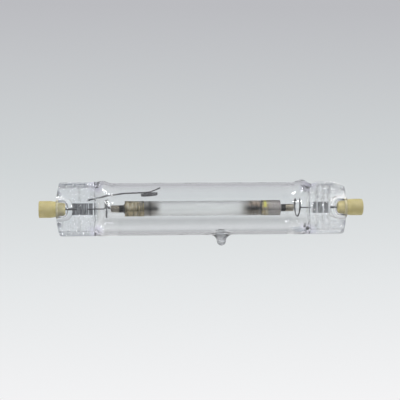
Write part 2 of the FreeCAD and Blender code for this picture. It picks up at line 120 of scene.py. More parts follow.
# Tints of the quartz by height: painted shade and reflection in bands low in the barrel, and smoke
# in the left pinch
SMOKE_AND_SHADE_HEIGHTS = (-11.0, 0.0)
BARREL_END = (39.0, 46.0)
BARREL_PAINTED_SHADE = ((0.0, (0.40, 0.41, 0.42)), (0.055, (0.66, 0.67, 0.68)),
               (0.13, (0.82, 0.83, 0.84)), (0.26, (0.92, 0.925, 0.93)),
               (0.40, (0.82, 0.825, 0.83)), (0.58, (0.785, 0.79, 0.795)),
               (0.65, (0.90, 0.905, 0.91)), (0.74, (0.91, 0.915, 0.92)),
               (0.78, (0.97, 0.975, 0.98)), (0.86, (0.92, 0.925, 0.93)),
               (0.95, (0.92, 0.925, 0.93)), (1.0, (0.97, 0.975, 0.98)))
LEFT_ROOT = (-46.0, -44.0)
LEFT_SMOKE = ((0.2, (0.84, 0.86, 0.885)), (0.9, (0.875, 0.90, 0.925)))
CLEAR_TINT = (0.975, 0.98, 0.985)
SHADOW_TINT = (0.93, 0.94, 0.95)

# Violet cast at the corners of the pinch roots
VIOLET_LENGTH = ((41.0, 44.5), (45.5, 50.0))
VIOLET_HEIGHT = (6.0, 10.0)
VIOLET = (0.90, 0.89, 0.99)

# Clear glass round the exhaust tip's foot, and the cracks in the tip
TIP_ALONG = 7.8
TIP_RING = (3.2, 4.0)
TIP_RING_HEIGHT = (-11.0, -10.2)
TIP_CRACK_COLOUR = (0.70, 0.72, 0.76)

# Dark dashes along the upper rims of the pinches: painted shade of the rims' edges and their
# embossing
DASH_STRETCH = (1.8, 0.1, 1.0)
DASH_FADE = (0.43, 0.52)
LEFT_RIM = ((9.85, 9.95), (10.5, 10.6))
UNDER_LEFT_RIM = ((8.65, 8.75), (8.95, 9.05))
LEFT_RIM_LENGTH = ((-60.0, -59.0), (-49.0, -48.0))
UNDER_RIM_STRENGTH = 0.8
RIGHT_RIM = ((9.2, 9.4), (9.9, 10.1))
RIGHT_RIM_LENGTH = ((48.5, 49.5), (55.5, 56.5))
RIGHT_RIM_STRENGTH = 0.7
DASH_SHADE = (0.20, 0.21, 0.26)

# The left pinch's low edge, and the ends of both pinches where they turn away: painted shade
LOW_EDGE_HEIGHT = (-9.2, -9.0)
LOW_EDGE_END = (-48.0, -46.0)
LOW_EDGE_SHADE = (0.69, 0.71, 0.74)
PINCH_END = (57.5, 58.5)
TURNED_AWAY = (0.15, 0.6)
PINCH_END_SHADE = (0.60, 0.62, 0.68)

# Grey streaks and splits in the right pinch
STREAK_STRETCH = (1.5, 0.5, 0.30)
STREAK_FADE = (0.54, 0.68)
STREAK_COLOUR = (0.95, 0.975, 1.0)
SPLIT_STRETCH = (1.0, 0.3, 0.35)
SPLIT_STRENGTH = 0.5
SPLIT_COLOUR = (0.50, 0.53, 0.60)

# Blue stroke low on the right shoulder, which slants up towards the pinch
STROKE_SLOPE = 0.10
STROKE_HEIGHT = ((-14.3, -14.0), (-13.7, -13.4))
STROKE_LENGTH = ((37.5, 39.5), (42.5, 44.0))
STROKE_COLOUR = (0.42, 0.47, 0.55)

# Relief of the glass: heights as shares of its depth, which is in millimetres
GLASS_DEPTH = 0.3
EVEN_STRETCH = (1.0, 0.6, 0.8)
UPRIGHT_STRETCH = (1.0, 0.6, 0.28)
PINCH_CRACK_DEPTH = -0.5
OVER_FOIL_RELIEF = 0.08
LEFT_RELIEF = 1.1
RIGHT_RELIEF = 0.7
FAINT_STRETCH = (0.02, 0.3, 0.3)
FAINT_DEPTH = 0.012
TIP_CRACK_DEPTH = -0.6
RIB_STRETCH = (1.0, 0.2, 0.5)
RIB_DEPTH = 2.0
RIB_HEIGHT = (9.0, 9.6)
RIB_END = (-48.5, -47.5)

# Relief of the sheen, and the shoulder over which it bends away from the studio's lamps
SHEEN_DEPTH = 1.0
SPECK_SHARE = 0.7
LEFT_SHEEN_RELIEF = 1.6
RIGHT_SHEEN_RELIEF = 2.6
TUBE_END = 36.0
SHOULDER_REACH = 5.0
SHOULDER_BEND = 0.03
SHEEN_START = (TUBE_END - 1, TUBE_END)
RIGHT_SHEEN_END = (37.6, 38.2)

# The boss round each cap, whose sides bend light as if they were flatter by this factor
RAISED_START = (47.0, 49.0)
RAISED_FACE = (2.1, 2.7)
RAISED_FLATNESS = 5.0

# Cap ceramic, with painted shade where it is set in the quartz
CAP_SHADES = ((0.3, (0.54, 0.465, 0.205)), (0.7, (0.63, 0.555, 0.28)))
SPECKLE_FADE = (0.62, 0.72)
SPECKLE_COLOUR = (0.48, 0.40, 0.19)
SET_IN_EDGE = (60.4, 61.2)
SET_IN_PAINTED_SHADE = (0.64, 0.62, 0.56)
CAP_GLOW_RADIUS = (1.2, 0.9, 0.4)

# Drawn metals: lines along the lamp, and how far the roughness goes each way
DRAWN_STRETCH = (0.2, 4.0, 4.0)
DRAWN_SHADES = (0.3, 0.7)
SMOOTHER = 0.8
ROUGHER = 1.2

# Fired ceramics and powders
FIRED_SHADES = (0.35, 0.65)

# Painted reflection of the room in a shining tube or band, from its low side to its top
SHINING_HEIGHTS = (-2.7, 2.7)
REFLECTED_ROOM_SHADES = ((0.0, 0.95), (0.26, 0.75), (0.34, 0.38), (0.50, 0.38), (0.58, 0.45), (1.0, 0.34))

# Niobium: gold near the loop and burnt dark at the arc tube
NIOBIUM_STRETCH = (0.6, 3.0, 3.0)
NIOBIUM_SHADES = ((0.3, (0.22, 0.18, 0.11)), (0.6, (0.55, 0.49, 0.37)), (0.75, (0.80, 0.76, 0.67)))
BURNT_END = (34.7, 35.3)
BURNT_COLOUR = (0.012, 0.011, 0.010)
NIOBIUM_ROUGHNESS = 0.28
BURNT_ROUGHNESS = 0.6

# Alumina: frosty white, with smoke, a dark ring and a brown band near the electrodes
ALUMINA_TONE_STRETCH = (0.25, 0.9, 0.9)
ALUMINA_TONE_WANDER = 2.0
ALUMINA_TONE_LENGTH = (-26.0, 26.0)
FROSTY_WHITE = (0.985, 0.99, 0.98)
SMOKE = (0.50, 0.48, 0.45)
DARK_RING = (0.13, 0.125, 0.11)
BROWN = (0.27, 0.235, 0.18)
ALUMINA_TONES = ((0.0, SMOKE), (0.055, SMOKE), (0.075, DARK_RING), (0.092, SMOKE),
            (0.17, FROSTY_WHITE), (0.79, FROSTY_WHITE), (0.865, SMOKE), (0.885, BROWN),
            (0.94, BROWN), (0.96, SMOKE))

# Stripes across the burnt right end of the alumina
BURNT_START = (18.8, 20.0)
STRIPE_STRETCH = (1.6, 0.1, 0.2)
PALE_STRIPE_HEIGHT = (-0.5, 0.1)
PALE_STRIPE_FADE = (0.44, 0.56)
PALE_STRIPE_COLOUR = (0.70, 0.58, 0.47)
LOW_STRIPE_HEIGHT = (-1.6, -1.2)
LOW_STRIPE_FADE = (0.50, 0.58)
LOW_STRIPE_COLOUR = (0.46, 0.45, 0.43)

# Heat shield foil, heat tinted in blotches and in stripes that run round it
SHIELD_STRIPE_STRETCH = (1.3, 0.1, 0.16)
BLOTCH_STRETCH = (0.5, 0.4, 0.4)
HEAT_TINTS = ((0.36, (0.34, 0.29, 0.145)), (0.48, (0.54, 0.45, 0.28)),
              (0.58, (0.58, 0.54, 0.42)), (0.68, (0.44, 0.41, 0.40)))
STRIPE_SHADES = ((0.34, (0.30, 0.30, 0.27)), (0.52, (0.95, 0.95, 0.93)), (0.70, (1.0, 1.0, 1.0)))
GOLD_BAND = ((25.3, 25.7), (26.4, 26.8))
GOLD_HEIGHT = (0.0, 0.7)
GOLD = (0.74, 0.72, 0.13)
GREY_START = (27.0, 28.0)
GREY_STRENGTH = 0.75
SHIELD_GREY = (0.42, 0.40, 0.42)

# Seal foil, with painted highlights on the creases across it: place along the lamp and half width
FOIL_STRETCH = (2.2, 0.1, 0.25)
FOIL_SHADES = ((0.36, (0.04, 0.042, 0.045)), (0.5, (0.14, 0.147, 0.155)),
               (0.66, (0.32, 0.33, 0.34)))
CREASES = ((46.15, 0.4), (48.5, 0.3), (51.3, 0.45), (53.8, 0.5), (-47.6, 0.05))
CREASE_FADE = 0.15
CREASE_HIGHLIGHT = (0.60, 0.62, 0.64)


def activate(obj):
    """Selects one object alone and makes it the active one."""
    bpy.ops.object.select_all(action="DESELECT")
    obj.select_set(True)
    bpy.context.view_layer.objects.active = obj


def feed(tree, socket, value):
    """Links a socket's value to an input, or sets the input to a plain one."""
    if isinstance(value, bpy.types.NodeSocket):
        tree.links.new(value, socket)
    elif socket.type == "RGBA":
        socket.default_value = (*value, 1)
    else:
        socket.default_value = value


def put(tree, kind, inputs=None, **settings):
    """A new shader node, with its settings, and its inputs set to values or linked to sockets."""
    made = tree.nodes.new("ShaderNode" + kind)
    for name, value in settings.items():
        setattr(made, name, value)
    for name, value in (inputs or {}).items():
        feed(tree, made.inputs[name], value)
    return made


def ramp(tree, value, stops):
    """Colours along a value, from (place, colour) stops."""
    made = put(tree, "ValToRGB", {"Fac": value})
    band_of_colour = made.color_ramp
    while len(band_of_colour.elements) < len(stops):
        band_of_colour.elements.new(0.5)
    for element, (place, colour) in zip(band_of_colour.elements, stops):
        element.position = place
        element.color = (*colour, 1)
    return made.outputs["Color"]


def maths(tree, operation, first, second=0.0):
    """The result of one operation on one or two values."""
    made = put(tree, "Math", operation=operation)
    feed(tree, made.inputs[0], first)
    feed(tree, made.inputs[1], second)
    return made.outputs[0]


def times(tree, first, *others):
    """The product of two or more values."""
    for other in others:
        first = maths(tree, "MULTIPLY", first, other)
    return first


def plus(tree, first, *others):
    """The sum of two or more values."""
    for other in others:
        first = maths(tree, "ADD", first, other)
    return first


def size_of(tree, value):
    """A value without its sign."""
    return maths(tree, "ABSOLUTE", value)


def share(tree, value, low, high):
    """How far a value lies from low to high, from 0 to 1."""
    made = put(tree, "MapRange", {"Value": value, "From Min": low, "From Max": high})
    return made.outputs["Result"]


def spread(tree, value, low, high, to_low=0.0, to_high=1.0):
    """Maps low..high smoothly to to_low..to_high and holds it beyond them."""
    made = put(tree, "MapRange", {"Value": value, "From Min": low, "From Max": high,
                                  "To Min": to_low, "To Max": to_high},
               interpolation_type="SMOOTHSTEP")
    return made.outputs["Result"]


def rising(tree, value, fade):
    """0 before a fade and 1 past it."""
    return spread(tree, value, *fade)


def falling(tree, value, fade):
    """1 before a fade and 0 past it."""
    return spread(tree, value, *fade, 1.0, 0.0)


def band(tree, value, fade_in, fade_out):
    """1 between two fades and 0 outside them."""
    return times(tree, rising(tree, value, fade_in), falling(tree, value, fade_out))


def mixed(tree, factor, first, second, blend="MIX"):
    """The first colour with the second over it, as far as the factor says."""
    made = put(tree, "Mix", data_type="RGBA", blend_type=blend)
    sockets = (made.inputs["Factor"], *[s for s in made.inputs if s.type == "RGBA"])
    for socket, value in zip(sockets, (factor, first, second)):
        feed(tree, socket, value)
    return next(s for s in made.outputs if s.type == "RGBA")


def noise(tree, position, scale, detail=2.0, roughness=0.5, distortion=0.0):
    """A cloudy pattern from 0 to 1, with that many clouds a millimetre."""
    made = put(tree, "TexNoise", {"Vector": position, "Scale": scale, "Detail": detail,
                                  "Roughness": roughness, "Distortion": distortion})
    return made.outputs["Fac"]


def stretched(tree, position, scale):
    """A position in which a pattern is squeezed by each scale: along, away and up."""
    return put(tree, "Mapping", {"Vector": position, "Scale": scale}).outputs["Vector"]


def cracks(tree, position, size, width):
    """Thin lines between cells of about that size in millimetres: 1 on a line, 0 elsewhere."""
    cells = put(tree, "TexVoronoi", {"Vector": position, "Scale": 1 / size},
                feature="DISTANCE_TO_EDGE")
    return falling(tree, cells.outputs["Distance"], (0.0, width))


def between(tree, mask, at_zero, at_one):
    """A value that goes from one to another as a mask goes from 0 to 1."""
    return spread(tree, mask, 0.0, 1.0, at_zero, at_one)


def bump(tree, height, distance, normal=None):
    """The surface's own normal, or a given one, tilted by a height times so many millimetres."""
    made = put(tree, "Bump", {"Height": height, "Distance": distance * MM})
    if normal is not None:
        tree.links.new(normal, made.inputs["Normal"])
    return made.outputs["Normal"]


def turned_normal(tree, normal, source, target):
    """A normal of one space, as another space has it."""
    made = put(tree, "VectorTransform", {0: normal}, vector_type="NORMAL",
               convert_from=source, convert_to=target)
    return made.outputs[0]


def new_group(name, given, results):
    """An empty shader node group with named sockets, and its inputs' and results' sockets."""
    group = bpy.data.node_groups.new(name, "ShaderNodeTree")
    for in_out, sockets in (("INPUT", given), ("OUTPUT", results)):
        for socket_name, kind in sockets.items():
            group.interface.new_socket(name=socket_name, in_out=in_out,
                                       socket_type="NodeSocket" + kind)
    inside = group.nodes.new("NodeGroupInput").outputs
    outside = group.nodes.new("NodeGroupOutput").inputs
    return group, inside, outside


def lamp_place_group():
    """Where a point is, in millimetres from the lamp's middle."""
    group, _, results = new_group("Lamp place", {}, {"Position": "Vector", "Along": "Float",
                                                     "Away": "Float", "Up": "Float"})
    coordinates = put(group, "TexCoord")
    moved = put(group, "VectorMath", {0: coordinates.outputs["Object"], 1: MIDDLE},
                operation="SUBTRACT")
    scaled = put(group, "VectorMath", {0: moved.outputs[0], "Scale": 1 / MM}, operation="SCALE")
    parts = put(group, "SeparateXYZ", {0: scaled.outputs[0]})
    group.links.new(scaled.outputs[0], results["Position"])
    for name, axis in (("Along", "X"), ("Away", "Y"), ("Up", "Z")):
        group.links.new(parts.outputs[axis], results[name])
    return group


def drawn_metal_group():
    """Fine lines drawn along the lamp, between two shades and round a roughness."""
    group, given, results = new_group(
        "Drawn metal", {"Position": "Vector", "Dark": "Color", "Light": "Color",
                        "Roughness": "Float"},
        {"Colour": "Color", "Roughness": "Float", "Lines": "Float"})
    lines = noise(group, stretched(group, given["Position"], DRAWN_STRETCH), scale=2.0,
                  detail=4.0, roughness=0.6)
    colour = mixed(group, share(group, lines, *DRAWN_SHADES), given["Dark"], given["Light"])
    rough = spread(group, lines, *DRAWN_SHADES, times(group, given["Roughness"], SMOOTHER),
                   times(group, given["Roughness"], ROUGHER))
    group.links.new(colour, results["Colour"])
    group.links.new(rough, results["Roughness"])
    group.links.new(lines, results["Lines"])
    return group


def fired_grain_group():
    """Fine grain of a fired or pressed material, between two shades."""
    group, given, results = new_group(
        "Fired grain", {"Position": "Vector", "Dark": "Color", "Light": "Color"},
        {"Colour": "Color", "Grain": "Float"})
    grain = noise(group, given["Position"], scale=3.0, detail=4.0, roughness=0.65)
    colour = mixed(group, share(group, grain, *FIRED_SHADES), given["Dark"], given["Light"])
    group.links.new(colour, results["Colour"])
    group.links.new(grain, results["Grain"])
    return group


def painted_room_reflection_group():
    """Painted reflection of the room: how bright a shining tube is at each height, with the room's
    dark across its middle.
    """
    group, given, results = new_group("Painted room reflection", {"Up": "Float"}, {"Shade": "Color"})
    stops = [(place, (shade, shade, shade)) for place, shade in REFLECTED_ROOM_SHADES]
    shade = ramp(group, share(group, given["Up"], *SHINING_HEIGHTS), stops)
    group.links.new(shade, results["Shade"])
    return group


LAMP_PLACE = lamp_place_group()
DRAWN_METAL = drawn_metal_group()
FIRED_GRAIN = fired_grain_group()
PAINTED_ROOM_REFLECTION = painted_room_reflection_group()


def new_material(name):
    """An empty node material, its tree, its output node and the lamp's place sockets."""
    material = bpy.data.materials.new(name)
    material.use_nodes = True
    tree = material.node_tree
    tree.nodes.clear()
    output = put(tree, "OutputMaterial")
    place = put(tree, "Group", node_tree=LAMP_PLACE)
    return material, tree, output, place.outputs


def finished(material, tree, output, **inputs):
    """The material, once a shader with these inputs makes its surface."""
    shader = put(tree, "BsdfPrincipled", {name.replace("_", " "): value
                                          for name, value in inputs.items()})
    tree.links.new(shader.outputs[0], output.inputs["Surface"])
    return material


def under_painted_room_reflection(tree, place, colour):
    """A shining tube's colour with a painted reflection of the room's shade over it."""
    shade = put(tree, "Group", {"Up": place["Up"]}, node_tree=PAINTED_ROOM_REFLECTION).outputs["Shade"]
    return mixed(tree, 1.0, colour, shade, "MULTIPLY")


def quartz_regions(tree, place):
    """Masks of the quartz's regions, and the distances that they are drawn from."""
    distance = size_of(tree, place["Along"])
    height = size_of(tree, place["Up"])
    over_cap = times(tree, rising(tree, distance, BOSS_ROOT), falling(tree, height, BOSS_EDGE))
    off_cap = maths(tree, "SUBTRACT", 1.0, over_cap)
    return {
        "distance": distance,
        "height": height,
        "off cap": off_cap,
        "pressed": times(tree, rising(tree, distance, PINCH_ROOT), off_cap),
        "off foil": spread(tree, height, *FOIL_EDGE, OVER_FOIL_RELIEF, 1.0),
        "right": rising(tree, place["Along"], RIGHT_HALF),
        "in tip": falling(tree, place["Up"], TIP_FOOT),
    }


def rim_dash_shade(tree, place):
    """Painted shade in dark dashes: two lines on the left pinch's upper rim and one on the right
    pinch's.
    """
    left = maths(tree, "MAXIMUM", band(tree, place["Up"], *LEFT_RIM),
                 times(tree, band(tree, place["Up"], *UNDER_LEFT_RIM), UNDER_RIM_STRENGTH))
    left = times(tree, left, band(tree, place["Along"], *LEFT_RIM_LENGTH))
    right = times(tree, band(tree, place["Up"], *RIGHT_RIM),
                  band(tree, place["Along"], *RIGHT_RIM_LENGTH), RIGHT_RIM_STRENGTH)
    grain = noise(tree, stretched(tree, place["Position"], DASH_STRETCH), scale=1.0,
                  detail=3.0, roughness=0.65)
    return times(tree, rising(tree, grain, DASH_FADE), maths(tree, "MAXIMUM", left, right))


def shoulder_stroke(tree, place):
    """A short slanting stroke in the glass, low on the right shoulder."""
    slant = maths(tree, "SUBTRACT", place["Up"], times(tree, place["Along"], STROKE_SLOPE))
    return times(tree, band(tree, slant, *STROKE_HEIGHT),
                 band(tree, place["Along"], *STROKE_LENGTH))


def quartz_colour(tree, place, regions, streaks, own_normal):
    """The quartz's tint with painted shade and its marks over it, from the first to the last."""
    smoke_and_shade_height = share(tree, place["Up"], *SMOKE_AND_SHADE_HEIGHTS)
    clear = mixed(tree, rising(tree, place["Along"], LEFT_ROOT),
                  ramp(tree, smoke_and_shade_height, LEFT_SMOKE), CLEAR_TINT)
    violet = times(tree, band(tree, regions["distance"], *VIOLET_LENGTH),
                   rising(tree, regions["height"], VIOLET_HEIGHT))
    off_tip = size_of(tree, maths(tree, "SUBTRACT", place["Along"], TIP_ALONG))
    round_tip = times(tree, falling(tree, off_tip, TIP_RING),
                      falling(tree, place["Up"], TIP_RING_HEIGHT))
    # Painted shade along the left pinch's low edge
    low_edge_shade = times(tree, falling(tree, place["Up"], LOW_EDGE_HEIGHT),
                     falling(tree, place["Along"], LOW_EDGE_END))
    # Painted shade on the ends of both pinches, where their surface turns away sideways
    facing = size_of(tree, put(tree, "SeparateXYZ", {0: own_normal}).outputs["X"])
    end = times(tree, rising(tree, regions["distance"], PINCH_END),
                rising(tree, facing, TURNED_AWAY), regions["off cap"])
    grey = times(tree, rising(tree, streaks, STREAK_FADE), regions["pressed"], regions["right"])
    splits = cracks(tree, stretched(tree, place["Position"], SPLIT_STRETCH), size=0.9,
                    width=0.12)
    splits = times(tree, splits, regions["pressed"], regions["right"], regions["off foil"],
                   SPLIT_STRENGTH)
    tip_cracks = times(tree, cracks(tree, place["Position"], size=1.3, width=0.16),
                       regions["in tip"])
    # Painted shade and reflection in bands low in the barrel, darkest along its bottom edge
    colour = mixed(tree, falling(tree, regions["distance"], BARREL_END), clear,
                   ramp(tree, smoke_and_shade_height, BARREL_PAINTED_SHADE))
    for mask, tint in ((violet, VIOLET), (round_tip, clear),
                       (rim_dash_shade(tree, place), DASH_SHADE), (low_edge_shade, LOW_EDGE_SHADE),
                       (end, PINCH_END_SHADE), (grey, STREAK_COLOUR), (splits, SPLIT_COLOUR),
                       (shoulder_stroke(tree, place), STROKE_COLOUR),
                       (tip_cracks, TIP_CRACK_COLOUR)):
        colour = mixed(tree, mask, colour, tint)
    return colour


def glass_relief(tree, place, regions):
    """Swells and cracks in the pinches, lumps in the tip, ribs on the left rim, draw lines."""
    position = place["Position"]
    even = stretched(tree, position, EVEN_STRETCH)
    upright = stretched(tree, position, UPRIGHT_STRETCH)
    fine = times(tree, cracks(tree, even, size=1.3, width=0.12),
                 noise(tree, position, scale=0.7, detail=1.0))
    tall = times(tree, cracks(tree, upright, size=0.8, width=0.25), regions["right"])
    pinch = plus(tree, noise(tree, even, scale=0.75, distortion=0.4),
                 times(tree, plus(tree, fine, tall), PINCH_CRACK_DEPTH))
    pinch = times(tree, pinch, regions["off foil"], regions["pressed"],
                  between(tree, regions["right"], LEFT_RELIEF, RIGHT_RELIEF))
    faint = noise(tree, stretched(tree, position, FAINT_STRETCH), scale=1.0, detail=1.0)
    tip = plus(tree, times(tree, cracks(tree, position, size=0.9, width=0.2),
                           TIP_CRACK_DEPTH), noise(tree, position, scale=1.1))
    ribs = times(tree, noise(tree, stretched(tree, position, RIB_STRETCH), scale=1.0),
                 rising(tree, place["Up"], RIB_HEIGHT), falling(tree, place["Along"], RIB_END))
    return plus(tree, pinch, times(tree, faint, FAINT_DEPTH),
                times(tree, tip, regions["in tip"]), times(tree, ribs, RIB_DEPTH))


def sheen_relief(tree, place, regions, streaks):
    """Streaks and specks in the pinches' sheen, which bends away over the shoulders."""
    specks = noise(tree, stretched(tree, place["Position"], EVEN_STRETCH), scale=1.7,
                   detail=3.0, roughness=0.6)
    rough = plus(tree, times(tree, streaks, regions["right"]), times(tree, specks, SPECK_SHARE))
    rough = times(tree, rough, regions["pressed"], regions["off foil"],
                  between(tree, regions["right"], LEFT_SHEEN_RELIEF, RIGHT_SHEEN_RELIEF))
    past_tube = maths(tree, "SUBTRACT", regions["distance"], TUBE_END)
    past_tube = maths(tree, "MINIMUM", maths(tree, "MAXIMUM", past_tube, 0.0), SHOULDER_REACH)
    bend = times(tree, maths(tree, "POWER", past_tube, 2.0), SHOULDER_BEND)
    return maths(tree, "SUBTRACT", rough, bend)


def calm_normal(tree, place, regions, own_normal):
    """The surface's own normal, turned towards the broad face over the boss round each cap."""
    raised = times(tree, rising(tree, regions["distance"], RAISED_START),
                   rising(tree, size_of(tree, place["Away"]), RAISED_FACE))
    flatter = put(tree, "CombineXYZ", {0: 1.0, 1: between(tree, raised, 1.0, RAISED_FLATNESS),
                                       2: 1.0})
    calm = put(tree, "VectorMath", {0: own_normal, 1: flatter.outputs[0]}, operation="MULTIPLY")
    return turned_normal(tree, calm.outputs[0], "OBJECT", "WORLD")


def quartz():
    """Clear quartz: painted shade and reflection in bands low in the barrel, pressed and crackled
    in the pinch seals.
    """
    material, tree, output, place = new_material("clear quartz")
    regions = quartz_regions(tree, place)
    surface_normal = put(tree, "NewGeometry").outputs["Normal"]
    own_normal = turned_normal(tree, surface_normal, "WORLD", "OBJECT")
    streaks = noise(tree, stretched(tree, place["Position"], STREAK_STRETCH), scale=1.0,
                    detail=3.0, roughness=0.6)
    on_shoulder = times(tree, rising(tree, regions["distance"], SHEEN_START),
                        falling(tree, place["Along"], RIGHT_SHEEN_END))
    shader = put(tree, "BsdfPrincipled", {
        "Base Color": quartz_colour(tree, place, regions, streaks, own_normal),
        "Metallic": 0.0, "Roughness": 0.0, "IOR": 1.458, "Transmission Weight": 1.0,
        "Normal": bump(tree, glass_relief(tree, place, regions), GLASS_DEPTH,
                       calm_normal(tree, place, regions, own_normal)),
        "Coat Weight": maths(tree, "MAXIMUM", regions["pressed"], on_shoulder),
        "Coat Roughness": 0.05, "Coat IOR": 1.5,
        "Coat Normal": bump(tree, sheen_relief(tree, place, regions, streaks), SHEEN_DEPTH)})
    shadow = put(tree, "BsdfTransparent", {"Color": SHADOW_TINT})
    path = put(tree, "LightPath")
    mix = put(tree, "MixShader", {0: path.outputs["Is Shadow Ray"], 1: shader.outputs[0],
                                  2: shadow.outputs[0]})
    tree.links.new(mix.outputs[0], output.inputs["Surface"])
    return material


def cap_ceramic():
    """Cream ceramic, clouded and finely speckled, with painted shade where it is set in the quartz.
    """
    material, tree, output, place = new_material("cream cap ceramic")
    cloud = noise(tree, place["Position"], scale=0.35, detail=4.0)
    grain = noise(tree, place["Position"], scale=6.0, detail=3.0, roughness=0.7)
    colour = mixed(tree, rising(tree, grain, SPECKLE_FADE), ramp(tree, cloud, CAP_SHADES),
                   SPECKLE_COLOUR)
    # Painted shade on the part of the cap that is set in the quartz
    shaded = mixed(tree, 1.0, colour, SET_IN_PAINTED_SHADE, "MULTIPLY")
    set_in = falling(tree, size_of(tree, place["Along"]), SET_IN_EDGE)
    return finished(material, tree, output, Base_Color=mixed(tree, set_in, colour, shaded),
                    Roughness=0.6, Subsurface_Weight=0.15, Subsurface_Radius=CAP_GLOW_RADIUS,
                    Subsurface_Scale=MM, Normal=bump(tree, grain, distance=0.02))


def drawn_metal(name, dark, light, roughness):
    """Metal with fine lines from its drawing or rolling."""
    material, tree, output, place = new_material(name)
    drawn = put(tree, "Group", {"Position": place["Position"], "Dark": dark, "Light": light,
                                "Roughness": roughness}, node_tree=DRAWN_METAL).outputs
    return finished(material, tree, output, Base_Color=drawn["Colour"], Metallic=0.9,
                    Roughness=drawn["Roughness"],
                    Normal=bump(tree, drawn["Lines"], distance=0.01))


def fired_ceramic(name, dark, light, roughness):
    """Cement, sealing glass or powder with a fine grain."""
    material, tree, output, place = new_material(name)
    fired = put(tree, "Group", {"Position": place["Position"], "Dark": dark, "Light": light},
                node_tree=FIRED_GRAIN).outputs
    return finished(material, tree, output, Base_Color=fired["Colour"], Roughness=roughness,
                    Normal=bump(tree, fired["Grain"], distance=0.03))


def niobium():
    """Gold-brown near the loop and nearly black near the arc tube, with a painted reflection of the
    room across it.
    """
    material, tree, output, place = new_material("niobium")
    lines = noise(tree, stretched(tree, place["Position"], NIOBIUM_STRETCH), scale=1.5,
                  detail=3.0)
    # Painted reflection of the room's dark band across the tube
    gold = under_painted_room_reflection(tree, place, ramp(tree, lines, NIOBIUM_SHADES))
    burnt = falling(tree, size_of(tree, place["Along"]), BURNT_END)
    rough = between(tree, burnt, NIOBIUM_ROUGHNESS, BURNT_ROUGHNESS)
    return finished(material, tree, output, Base_Color=mixed(tree, burnt, gold, BURNT_COLOUR),
                    Metallic=0.9, Roughness=rough)


def alumina():
    """Frosty white tube, smoky grey towards the electrodes, with a dark ring near the left one and
    a brown band near the right one.
    """
    material, tree, output, place = new_material("translucent alumina")
    streaks = noise(tree, stretched(tree, place["Position"], ALUMINA_TONE_STRETCH), scale=0.8,
                    detail=3.0)
    wander = times(tree, maths(tree, "SUBTRACT", streaks, 0.5), ALUMINA_TONE_WANDER)
    along = share(tree, plus(tree, place["Along"], wander), *ALUMINA_TONE_LENGTH)
    colour = ramp(tree, along, ALUMINA_TONES)
    stripes = noise(tree, stretched(tree, place["Position"], STRIPE_STRETCH), scale=1.0,
                    detail=3.0, roughness=0.6)
    burnt = rising(tree, place["Along"], BURNT_START)
    pale = times(tree, burnt, rising(tree, place["Up"], PALE_STRIPE_HEIGHT),
                 rising(tree, stripes, PALE_STRIPE_FADE))
    low = times(tree, burnt, falling(tree, place["Up"], LOW_STRIPE_HEIGHT),
                rising(tree, stripes, LOW_STRIPE_FADE))
    colour = mixed(tree, pale, colour, PALE_STRIPE_COLOUR)
    colour = mixed(tree, low, colour, LOW_STRIPE_COLOUR)
    return finished(material, tree, output, Base_Color=colour, Roughness=0.28,
                    Transmission_Weight=1.0, IOR=1.45)


def shield_foil():
    """Thin foil band with a gold stripe, a grey end and a painted reflection of the room across it.
    """
    material, tree, output, place = new_material("heat shield foil")
    stripes = noise(tree, stretched(tree, place["Position"], SHIELD_STRIPE_STRETCH), scale=1.0,
                    detail=3.0, roughness=0.6, distortion=0.3)
    blotches = noise(tree, stretched(tree, place["Position"], BLOTCH_STRETCH), scale=0.9,
                     detail=3.0, roughness=0.6)
    colour = mixed(tree, 1.0, ramp(tree, blotches, HEAT_TINTS),
                   ramp(tree, stripes, STRIPE_SHADES), "MULTIPLY")
    gold = times(tree, band(tree, place["Along"], *GOLD_BAND),
                 rising(tree, place["Up"], GOLD_HEIGHT))
    grey = times(tree, rising(tree, place["Along"], GREY_START), GREY_STRENGTH)
    colour = mixed(tree, gold, colour, GOLD)
    # Painted reflection of the room's dark band across the foil
    colour = under_painted_room_reflection(tree, place, mixed(tree, grey, colour, SHIELD_GREY))
    return finished(material, tree, output, Base_Color=colour, Metallic=0.75, Roughness=0.5,
                    Normal=bump(tree, stripes, distance=0.12))


def seal_foil():
    """Etched foil, creased across by the press, with painted highlights on its creases, most at the
    right end.
    """
    material, tree, output, place = new_material("molybdenum foil")
    weave = noise(tree, stretched(tree, place["Position"], FOIL_STRETCH), scale=1.0,
                  detail=4.0, roughness=0.65)
    colour = ramp(tree, weave, FOIL_SHADES)
    # Painted highlight along each crease
    for middle, half_width in CREASES:
        off_crease = size_of(tree, maths(tree, "SUBTRACT", place["Along"], middle))
        crease = falling(tree, off_crease, (half_width, half_width + CREASE_FADE))
        colour = mixed(tree, crease, colour, CREASE_HIGHLIGHT)
    return finished(material, tree, output, Base_Color=colour, Metallic=0.3, Roughness=0.55,
                    Normal=bump(tree, weave, distance=0.04))


